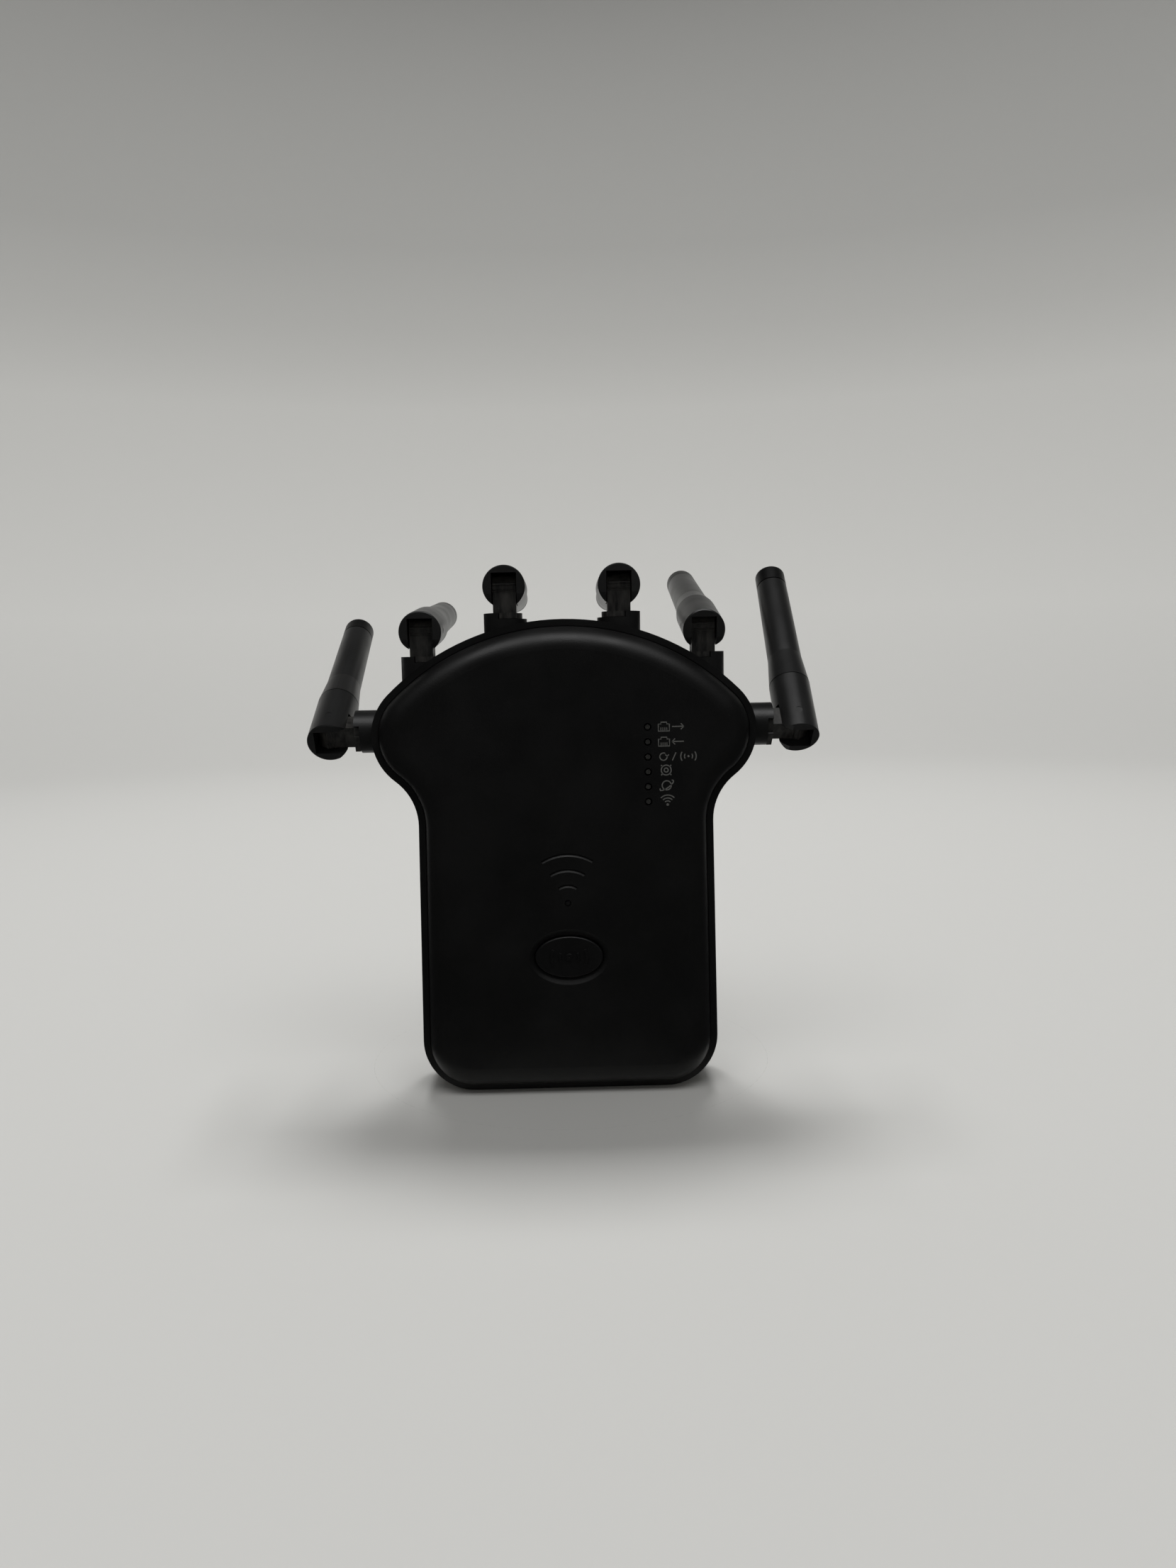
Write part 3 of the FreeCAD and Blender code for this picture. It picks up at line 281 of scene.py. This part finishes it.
def plated(name, color, roughness, along):
    """Drawn or stamped metal with fine lines along one axis."""
    material, shader = new_material(name, color, roughness, metallic=0.8)
    stretch = add_node(material, "ShaderNodeMapping")
    stretch.inputs["Scale"].default_value = along
    lines = add_node(material, "ShaderNodeTexNoise", Scale=1.0, Detail=3.0)
    links = material.node_tree.links
    links.new(object_place(material), stretch.inputs["Vector"])
    links.new(stretch.outputs["Vector"], lines.inputs["Vector"])
    vary(material, shader, "Roughness", lines.outputs["Fac"], roughness - 0.08, roughness + 0.1)
    bump(material, shader, lines.outputs["Fac"], 0.25, 0.00002)
    return material


def clear_plastic():
    """The clear plastic of the lamp lenses, dark while the lamps are off."""
    material, shader = new_material("lens_clear", (0.03, 0.03, 0.028), 0.25)
    shader.inputs["Transmission Weight"].default_value = 0.2
    shader.inputs["IOR"].default_value = 1.49
    tint(material, shader, noise(material, 900.0), (0.026, 0.026, 0.024), (0.034, 0.034, 0.032))
    return material


def printed_film():
    """The blank label's film, with a faint weave of fine lines."""
    material, shader = new_material("label_film", (0.36, 0.36, 0.37), 0.42)
    tint(material, shader, noise(material, 250.0), (0.34, 0.34, 0.35), (0.38, 0.38, 0.39))
    bump(material, shader, noise(material, 1500.0), 0.2, 0.00001)
    return material


def circuit_board():
    """Solder mask over copper tracks, which show as slightly lighter lines."""
    material, shader = new_material("solder_mask", (0.01, 0.10, 0.04), 0.35)
    tracks = add_node(material, "ShaderNodeTexBrick", Scale=300.0, Mortar_Size=0.04)
    material.node_tree.links.new(object_place(material), tracks.inputs["Vector"])
    tint(material, shader, tracks.outputs["Fac"], (0.01, 0.10, 0.04), (0.02, 0.16, 0.07))
    bump(material, shader, tracks.outputs["Fac"], 0.3, 0.00005)
    return material


def print_ink():
    """Grey pad-printed ink on the cover."""
    material, shader = new_material("print_ink", (0.10, 0.10, 0.095), 0.55)
    tint(material, shader, noise(material, 2500.0), (0.08, 0.08, 0.075), (0.12, 0.12, 0.115))
    return material


def worn_plastic():
    """The hinge tongues' plastic, scuffed grey along its length by the fork."""
    material, shader = new_material("tongue_worn", (0.01, 0.01, 0.01), 0.42)
    stretch = add_node(material, "ShaderNodeMapping")
    stretch.inputs["Scale"].default_value = (900.0, 900.0, 160.0)
    scuffs = add_node(material, "ShaderNodeTexNoise", Scale=1.0, Detail=5.0, Roughness=0.7)
    links = material.node_tree.links
    links.new(object_place(material), stretch.inputs["Vector"])
    links.new(stretch.outputs["Vector"], scuffs.inputs["Vector"])
    tint(material, shader, scuffs.outputs["Fac"], (0.005, 0.005, 0.005), (0.032, 0.030, 0.027))
    vary(material, shader, "Roughness", scuffs.outputs["Fac"], 0.34, 0.55)
    bump(material, shader, scuffs.outputs["Fac"], 0.4, 0.00003)
    return material


def make_materials():
    """One material for each of the record's slots."""
    cover = moulded("cover_grain", (0.0036, 0.0036, 0.0036), (0.0050, 0.0049, 0.0049), 0.42,
                    2600.0, 0.00006, 0.40)
    hinge = moulded("hinge_satin", (0.005, 0.005, 0.005), (0.008, 0.008, 0.008), 0.40, 1800.0, 0.00004)
    sleeve = moulded("sleeve_satin", (0.009, 0.009, 0.009), (0.013, 0.013, 0.013), 0.33, 900.0, 0.00002)
    dull = moulded("moulded_black", (0.010, 0.010, 0.010), (0.014, 0.014, 0.014), 0.5, 1500.0, 0.00004)
    return {
        "cover_plastic": cover,
        "button_plastic": moulded("button_grain", (0.0036, 0.0036, 0.0037), (0.0048, 0.0048, 0.0049),
                                  0.40, 2600.0, 0.00006, 0.40),
        "hinge_plastic": hinge,
        "tongue_plastic": worn_plastic(),
        "sleeve_plastic": sleeve,
        "pin_plastic": moulded("pin_satin", (0.010, 0.010, 0.010), (0.016, 0.016, 0.016), 0.32,
                               900.0, 0.00002),
        "switch_black": dull,
        "jack_plastic": dull,
        "lead_jacket": moulded("lead_jacket", (0.012, 0.012, 0.012), (0.018, 0.018, 0.018), 0.45,
                               700.0, 0.00003),
        "ferrite": moulded("ferrite", (0.035, 0.033, 0.031), (0.05, 0.047, 0.043), 0.6, 1200.0, 0.00006),
        "can_sleeve": moulded("can_sleeve", (0.008, 0.008, 0.03), (0.012, 0.012, 0.045), 0.28,
                              500.0, 0.00002),
        "lamp_body": moulded("lamp_body", (0.72, 0.72, 0.62), (0.8, 0.8, 0.72), 0.3, 1500.0, 0.00001),
        "blade_metal": plated("nickel_plate", (0.62, 0.60, 0.56), 0.24, (3000.0, 120.0, 3000.0)),
        "screw_steel": plated("black_steel", (0.10, 0.10, 0.105), 0.34, (1500.0, 1500.0, 300.0)),
        "shield_tin": plated("tin_plate", (0.6, 0.6, 0.6), 0.36, (400.0, 400.0, 2500.0)),
        "contact_gold": plated("gold_plate", (0.75, 0.52, 0.2), 0.25, (2000.0, 2000.0, 300.0)),
        "element_brass": plated("brass", (0.6, 0.42, 0.18), 0.3, (600.0, 600.0, 600.0)),
        "clear_lens": clear_plastic(),
        "label_print": printed_film(),
        "board_green": circuit_board(),
    }


def dress_nodes(materials):
    """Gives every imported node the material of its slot, and the tip caps their own."""
    cap = moulded("cap_satin", (0.003, 0.003, 0.003), (0.005, 0.005, 0.005), 0.36, 900.0, 0.00002, 0.35)
    for part in frame["record"]["subparts"]:
        data = nodes[part["node"]].data
        material = cap if part["node"].endswith("_tip_cap") else materials[part["material_slot"]]
        data.materials.clear()
        data.materials.append(material)
        for polygon in data.polygons:
            polygon.material_index = 0


# ---------------------------------------------------------------- marks on the front

def arc_points(middle, radius, start, end, steps=24):
    """Points along an arc on the front, angles in degrees anticlockwise from the right."""
    turns = [math.radians(start + (end - start) * n / steps) for n in range(steps + 1)]
    return [(middle[0] + radius * math.cos(turn), middle[1] + radius * math.sin(turn)) for turn in turns]


def add_ribbon(mesh, points, width, front, back, closed=False):
    """Adds a flat-sided stroke along points in the X-Z plane, between two depths."""
    count = len(points)
    rows = []
    for n, (x, z) in enumerate(points):
        before = points[(n - 1) % count] if closed or n > 0 else points[n]
        after = points[(n + 1) % count] if closed or n < count - 1 else points[n]
        along = Vector((after[0] - before[0], after[1] - before[1])).normalized()
        side = Vector((-along.y, along.x)) * width / 2
        corners = ((x + side.x, z + side.y), (x - side.x, z - side.y))
        rows.append([mesh.verts.new((a, depth, b)) for depth in (front, back) for a, b in corners])
    last = count if closed else count - 1
    for n in range(last):
        one, two = rows[n], rows[(n + 1) % count]
        for a, b in ((0, 1), (1, 3), (3, 2), (2, 0)):
            mesh.faces.new((one[a], one[b], two[b], two[a]))
    if not closed:
        for row in (rows[0], rows[-1]):
            mesh.faces.new((row[0], row[1], row[3], row[2]))


def finish_piece(mesh, name, material, body):
    """Turns a bmesh into a piece that rides on a body."""
    bmesh.ops.recalc_face_normals(mesh, faces=mesh.faces)
    data = bpy.data.meshes.new(name)
    mesh.to_mesh(data)
    mesh.free()
    data.materials.append(material)
    piece = bpy.data.objects.new(name, data)
    bpy.context.scene.collection.objects.link(piece)
    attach(piece, body)
    return piece


def lamp_places():
    """Middle of each lamp, from the top, read from the lamps' own box."""
    low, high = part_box("indicator_leds")
    top = high.z - LAMP_HEIGHT / 2
    pitch = (high.z - low.z - LAMP_HEIGHT) / (LAMP_COUNT - 1)
    return [((low.x + high.x) / 2, top - n * pitch) for n in range(LAMP_COUNT)]


def spot(middle, x, z):
    """A point x and z millimetres away from a middle."""
    return (middle[0] + x * MM, middle[1] + z * MM)


def port_lines(middle):
    """A network port's outline with the notch for its latch."""
    frame_points = [(-1.5, -1.2), (1.5, -1.2), (1.5, 0.7), (0.8, 0.7), (0.8, 1.2), (-0.8, 1.2),
                    (-0.8, 0.7), (-1.5, 0.7)]
    pins = [[spot(middle, x, -1.0), spot(middle, x, -0.2)] for x in (-0.8, -0.27, 0.27, 0.8)]
    return [spot(middle, x, z) for x, z in frame_points], pins


def arrow_lines(middle, length, side):
    """An arrow along X with its head at one end; side is 1 for right and -1 for left."""
    barb = 0.8
    tip = side * length / 2
    shaft = [spot(middle, -tip, 0), spot(middle, tip, 0)]
    root = tip - side * barb
    head = [spot(middle, root, barb), spot(middle, tip, 0), spot(middle, root, -barb)]
    return [shaft, head]


def orbit_points(middle):
    """The tilted ring round the planet, open where it passes behind."""
    tilt = math.radians(35)
    steps = 32
    half_width, half_height = 2.2, 0.7
    points = []
    for n in range(steps + 1):
        turn = math.radians(150 + 240 * n / steps)
        wide = half_width * math.cos(turn)
        tall = half_height * math.sin(turn)
        across = wide * math.cos(tilt) - tall * math.sin(tilt)
        up = wide * math.sin(tilt) + tall * math.cos(tilt)
        points.append(spot(middle, across, up))
    return points


def make_lamp_marks():
    """A generic pictogram beside each lamp: two network ports, a ring arrow with a pairing
    sign, a target, a planet and a signal fan."""
    front = face_y - 0.02 * MM
    back = face_y + 0.05 * MM
    stroke = 0.3 * MM
    mesh = bmesh.new()
    lamps = lamp_places()

    def line(points, closed=False, width=stroke):
        add_ribbon(mesh, points, width, front, back, closed)

    for lamp, side in zip(lamps[:2], (1, -1)):
        outline, pins = port_lines(spot(lamp, 4.4, 0))
        line(outline, closed=True)
        for pin in pins:
            line(pin, width=0.22 * MM)
        for points in arrow_lines(spot(lamp, 8.2, 0), 3.2, side):
            line(points)
    again = spot(lamps[2], 4.2, 0)
    line(arc_points(again, 1.0 * MM, 60, 370))
    line([spot(again, 0.5, 0.5), spot(again, 1.0, 0.15), spot(again, 1.5, 0.55)])
    line([spot(lamps[2], 6.6, -1.1), spot(lamps[2], 7.6, 1.1)])
    pairing = spot(lamps[2], 11.0, 0)
    line(arc_points(pairing, 0.15 * MM, 0, 345, 12), closed=True)
    for radius in (1.1, 2.1):
        for turn in (0, 180):
            line(arc_points(pairing, radius * MM, turn - 35, turn + 35))
    target = spot(lamps[3], 4.9, 0.4)
    line(arc_points(target, 1.35 * MM, 0, 345), closed=True)
    line(arc_points(target, 0.55 * MM, 0, 345), closed=True)
    for turn in (45, 135, 225, 315):
        spoke = Vector((math.cos(math.radians(turn)), math.sin(math.radians(turn))))
        line([spot(target, *(spoke * 1.35)), spot(target, *(spoke * 1.95))])
    planet = spot(lamps[4], 5.0, 0.3)
    line(arc_points(planet, 1.25 * MM, 0, 345), closed=True)
    line(orbit_points(planet))
    foot = spot(lamps[5], 5.2, -0.9)
    for radius in (1.0, 1.8, 2.6):
        line(arc_points(foot, radius * MM, 45, 135))
    line(arc_points(foot, 0.2 * MM, 0, 345, 12), closed=True)
    finish_piece(mesh, "lamp_marks", print_ink(), "housing")


def make_button_symbol(material):
    """A raised generic pairing symbol on the button: a dot between two pairs of arcs."""
    low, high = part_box("wps_button")
    middle = ((low.x + high.x) / 2, (low.z + high.z) / 2)
    front = button_y - 0.3 * MM
    back = button_y + 0.1 * MM
    mesh = bmesh.new()
    for radius in (2.6, 4.9):
        for turn in (0, 180):
            arc = arc_points(middle, radius * MM, turn - 26, turn + 26)
            add_ribbon(mesh, arc, 0.75 * MM, front, back)
    dot = arc_points(middle, 0.55 * MM, 0, 345, 23)
    add_ribbon(mesh, dot, 0.9 * MM, front, back, closed=True)
    piece = finish_piece(mesh, "button_symbol", material, "button")
    bevel = piece.modifiers.new("soft_edges", "BEVEL")
    bevel.width = 0.2 * MM
    bevel.segments = 3


# ---------------------------------------------------------------- build

make_camera()
make_world()
make_stage()
make_light("key", (1.4, 0.7), 9.5, (0.0, -0.62, 1.36), (0.0, 0.0, 0.03))
make_light("paper_fill", (0.9, 0.6), 37.0, (0.0, 0.8, 1.9), (0.0, 0.0, 0.0), glossy=False)
slots = make_materials()
dress_nodes(slots)
make_lamp_marks()
make_button_symbol(slots["button_plastic"])
